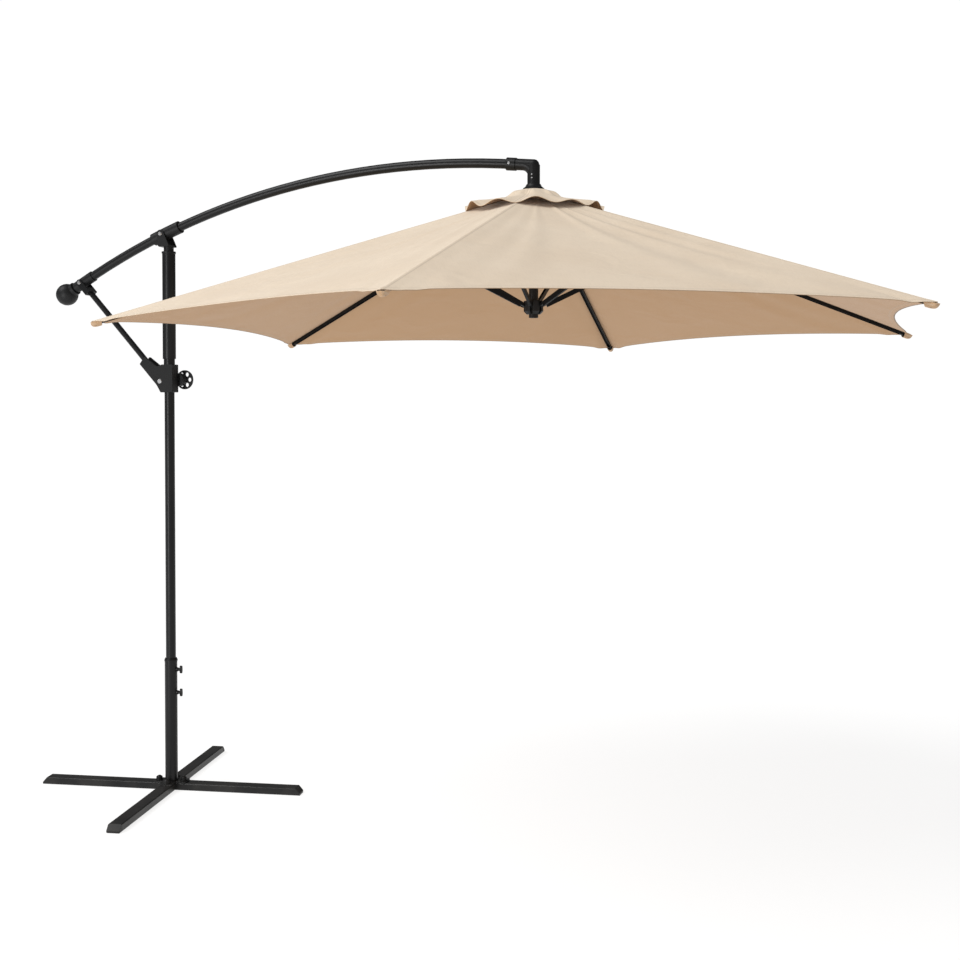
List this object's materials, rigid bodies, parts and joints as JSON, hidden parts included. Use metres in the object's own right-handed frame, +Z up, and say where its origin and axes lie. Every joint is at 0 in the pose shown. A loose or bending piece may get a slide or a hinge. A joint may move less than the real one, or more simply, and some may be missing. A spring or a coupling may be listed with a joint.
{
  "type": "cantilever patio umbrella",
  "caption": "Cantilever patio umbrella: curved arm on a mast and cross base, folding ribbed canopy with a vent flap, crank and tilting strut",
  "frame": {"origin": "on the ground under the mast, in the plane of the cross base's underside", "axes": "+X along the arm to the canopy, +Z up, +Y to the left of the arm"},
  "size_m": [3.3071, 2.93, 2.3738],
  "materials": {
    "frame_black": "satin",
    "rib_black": "satin",
    "plastic_black": "satin",
    "casting_black": "satin",
    "rivet_steel": "satin",
    "cloth_beige": "matte",
    "cord": "matte"
  },
  "bodies": {
    "base": {"base_leg_long": "frame_black", "base_leg_halves": "frame_black", "base_end_caps": "plastic_black", "base_plate": "frame_black", "base_bolts": "plastic_black", "base_tube": "frame_black", "base_bushings": "plastic_black", "thumbscrew_bosses": "frame_black"},
    "screw_upper": {"thumbscrew_upper": "plastic_black"},
    "screw_lower": {"thumbscrew_lower": "plastic_black"},
    "mast": {"mast_tube": "frame_black", "mast_sleeve": "frame_black", "mast_reducer": "frame_black", "mast_clevis": "plastic_black", "pivot_rivet": "rivet_steel", "lift_cord_mast": "cord"},
    "housing": {"housing_body": "plastic_black", "housing_pin": "rivet_steel", "crank_box": "plastic_black"},
    "crank": {"crank_drum": "rivet_steel", "crank_wheel": "plastic_black"},
    "arm": {"arm_tube": "frame_black", "arm_ball": "plastic_black", "arm_collar": "plastic_black", "rear_collar": "plastic_black", "rear_rivet": "rivet_steel", "arm_elbow": "casting_black", "elbow_screws": "rivet_steel", "elbow_skirt": "plastic_black", "canopy_pole": "frame_black", "crown": "plastic_black", "crown_disc": "plastic_black", "lift_cord_arm": "cord"},
    "strut": {"strut_fork": "frame_black", "strut_tube": "frame_black"},
    "runner": {"runner": "plastic_black"},
    "rib_0": {"rib_0": "rib_black", "canopy_sector_0": "cloth_beige"},
    "stretcher_0": {"stretcher_0": "rib_black"},
    "rib_1": {"rib_1": "rib_black", "canopy_sector_1": "cloth_beige"},
    "stretcher_1": {"stretcher_1": "rib_black"},
    "rib_2": {"rib_2": "rib_black", "canopy_sector_2": "cloth_beige"},
    "stretcher_2": {"stretcher_2": "rib_black"},
    "rib_3": {"rib_3": "rib_black", "canopy_sector_3": "cloth_beige"},
    "stretcher_3": {"stretcher_3": "rib_black"},
    "rib_4": {"rib_4": "rib_black", "canopy_sector_4": "cloth_beige"},
    "stretcher_4": {"stretcher_4": "rib_black"},
    "rib_5": {"rib_5": "rib_black", "canopy_sector_5": "cloth_beige"},
    "stretcher_5": {"stretcher_5": "rib_black"}
  },
  "joints": [
    {"name": "mast_swivel", "type": "hinge", "parent": "base", "child": "mast", "pos_m": [0, 0, 0.3], "axis": [0, 0, 1], "continuous": true},
    {"name": "thumbscrew_upper_turn", "type": "hinge", "parent": "base", "child": "screw_upper", "pos_m": [0, 0, 0.467], "axis": [0.981, 0.1942, 0], "range_deg": [0, 1080]},
    {"name": "thumbscrew_lower_turn", "type": "hinge", "parent": "base", "child": "screw_lower", "pos_m": [0, 0, 0.377], "axis": [0.981, 0.1942, 0], "range_deg": [0, 1080]},
    {"name": "arm_tilt", "type": "hinge", "parent": "mast", "child": "arm", "pos_m": [-0.02, 0, 2.15868], "axis": [0, -1, 0], "range_deg": [0, 15]},
    {"name": "housing_slide", "type": "slide", "parent": "mast", "child": "housing", "axis": [0, 0, -1], "range_m": [0, 0.14056]},
    {"name": "strut_pivot", "type": "hinge", "parent": "arm", "child": "strut", "pos_m": [-0.399, 0, 1.98356], "axis": [0, 1, 0], "range_deg": [0, 23.28]},
    {"name": "canopy_lift", "type": "slide", "parent": "arm", "child": "runner", "axis": [0, 0, -1], "range_m": [0, 0.6071]},
    {"name": "crank_turn", "type": "hinge", "parent": "housing", "child": "crank", "pos_m": [0.034, 0.05, 1.597], "axis": [0, 1, 0], "range_deg": [0, 2323.95]},
    {"name": "rib_fold_0", "type": "hinge", "parent": "arm", "child": "rib_0", "pos_m": [1.50316, 0.01634, 2.219], "axis": [-0.5446, 0.8387, 0], "range_deg": [0, 68.36], "deforming": ["canopy_sector_0"]},
    {"name": "stretcher_fold_0", "type": "hinge", "parent": "rib_0", "child": "stretcher_0", "pos_m": [1.88276, 0.26285, 2.05859], "axis": [0.5446, -0.8387, 0], "range_deg": [0, 129.9]},
    {"name": "rib_fold_1", "type": "hinge", "parent": "arm", "child": "rib_1", "pos_m": [1.47643, 0.02996, 2.219], "axis": [-0.9986, -0.0523, 0], "range_deg": [0, 68.36], "deforming": ["canopy_sector_1"]},
    {"name": "stretcher_fold_1", "type": "hinge", "parent": "rib_1", "child": "stretcher_1", "pos_m": [1.45274, 0.48196, 2.05859], "axis": [0.9986, 0.0523, 0], "range_deg": [0, 129.9]},
    {"name": "rib_fold_2", "type": "hinge", "parent": "arm", "child": "rib_2", "pos_m": [1.45127, 0.01362, 2.219], "axis": [-0.454, -0.891, 0], "range_deg": [0, 68.36], "deforming": ["canopy_sector_2"]},
    {"name": "stretcher_fold_2", "type": "hinge", "parent": "rib_2", "child": "stretcher_2", "pos_m": [1.04798, 0.2191, 2.05859], "axis": [0.454, 0.891, 0], "range_deg": [0, 129.9]},
    {"name": "rib_fold_3", "type": "hinge", "parent": "arm", "child": "rib_3", "pos_m": [1.45284, -0.01634, 2.219], "axis": [0.5446, -0.8387, 0], "range_deg": [0, 68.36], "deforming": ["canopy_sector_3"]},
    {"name": "stretcher_fold_3", "type": "hinge", "parent": "rib_3", "child": "stretcher_3", "pos_m": [1.07324, -0.26285, 2.05859], "axis": [-0.5446, 0.8387, 0], "range_deg": [0, 129.9]},
    {"name": "rib_fold_4", "type": "hinge", "parent": "arm", "child": "rib_4", "pos_m": [1.47957, -0.02996, 2.219], "axis": [0.9986, 0.0523, 0], "range_deg": [0, 68.36], "deforming": ["canopy_sector_4"]},
    {"name": "stretcher_fold_4", "type": "hinge", "parent": "rib_4", "child": "stretcher_4", "pos_m": [1.50326, -0.48196, 2.05859], "axis": [-0.9986, -0.0523, 0], "range_deg": [0, 129.9]},
    {"name": "rib_fold_5", "type": "hinge", "parent": "arm", "child": "rib_5", "pos_m": [1.50473, -0.01362, 2.219], "axis": [0.454, 0.891, 0], "range_deg": [0, 68.36], "deforming": ["canopy_sector_5"]},
    {"name": "stretcher_fold_5", "type": "hinge", "parent": "rib_5", "child": "stretcher_5", "pos_m": [1.90802, -0.2191, 2.05859], "axis": [-0.454, -0.891, 0], "range_deg": [0, 129.9]}
  ],
  "couplings": [
    {"joint": "housing_slide", "follows": "arm_tilt", "m_per_rad": 0.53309},
    {"joint": "strut_pivot", "follows": "arm_tilt", "ratio": 1.5323},
    {"joint": "crank_turn", "follows": "canopy_lift", "rad_per_m": 66.667},
    {"joint": "rib_fold_0", "follows": "canopy_lift", "rad_per_m": 1.9594},
    {"joint": "stretcher_fold_0", "follows": "canopy_lift", "rad_per_m": 3.7257},
    {"joint": "rib_fold_1", "follows": "canopy_lift", "rad_per_m": 1.9594},
    {"joint": "stretcher_fold_1", "follows": "canopy_lift", "rad_per_m": 3.7257},
    {"joint": "rib_fold_2", "follows": "canopy_lift", "rad_per_m": 1.9594},
    {"joint": "stretcher_fold_2", "follows": "canopy_lift", "rad_per_m": 3.7257},
    {"joint": "rib_fold_3", "follows": "canopy_lift", "rad_per_m": 1.9594},
    {"joint": "stretcher_fold_3", "follows": "canopy_lift", "rad_per_m": 3.7257},
    {"joint": "rib_fold_4", "follows": "canopy_lift", "rad_per_m": 1.9594},
    {"joint": "stretcher_fold_4", "follows": "canopy_lift", "rad_per_m": 3.7257},
    {"joint": "rib_fold_5", "follows": "canopy_lift", "rad_per_m": 1.9594},
    {"joint": "stretcher_fold_5", "follows": "canopy_lift", "rad_per_m": 3.7257}
  ]
}
